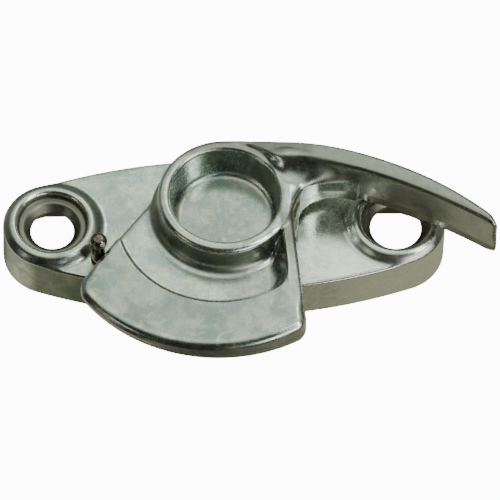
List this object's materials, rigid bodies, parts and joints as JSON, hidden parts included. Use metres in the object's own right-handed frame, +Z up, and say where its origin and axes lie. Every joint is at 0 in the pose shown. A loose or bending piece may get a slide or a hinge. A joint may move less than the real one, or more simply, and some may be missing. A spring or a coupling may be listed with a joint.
{
  "type": "cam window catch",
  "caption": "Die-cast cam window catch: lens-shaped screw-down base with a swinging lever that has an open round hub, a curved finger arm and a fan-shaped cam sector.",
  "frame": {"origin": "on the mounting plane, midway between the two screw holes, on the lever's turning axis", "axes": "+Z up from the mounting plane along the turning axis, +X towards the screw hole under the finger arm, -Y towards the cam sector"},
  "size_m": [0.0636, 0.0317, 0.0156],
  "materials": {
    "plated_base": "bright zinc-plated die casting, satin with faint yellow and blue tints",
    "plated_lever": "bright zinc-plated die casting, satin with cloudy mottling",
    "browned_steel": "glossy brown-grey steel",
    "plated_steel": "plated spring steel"
  },
  "bodies": {
    "base": {"base_plate": "plated_base", "stop_pin": "browned_steel"},
    "lever": {"cam_lever": "plated_lever", "spring_washer": "plated_steel", "retaining_washer": "plated_steel"}
  },
  "joints": [
    {"name": "lever_turn", "type": "hinge", "parent": "base", "child": "lever", "pos_m": [0, 0, 0.0064], "axis": [0, 0, 1], "range_deg": [0, 173]}
  ]
}
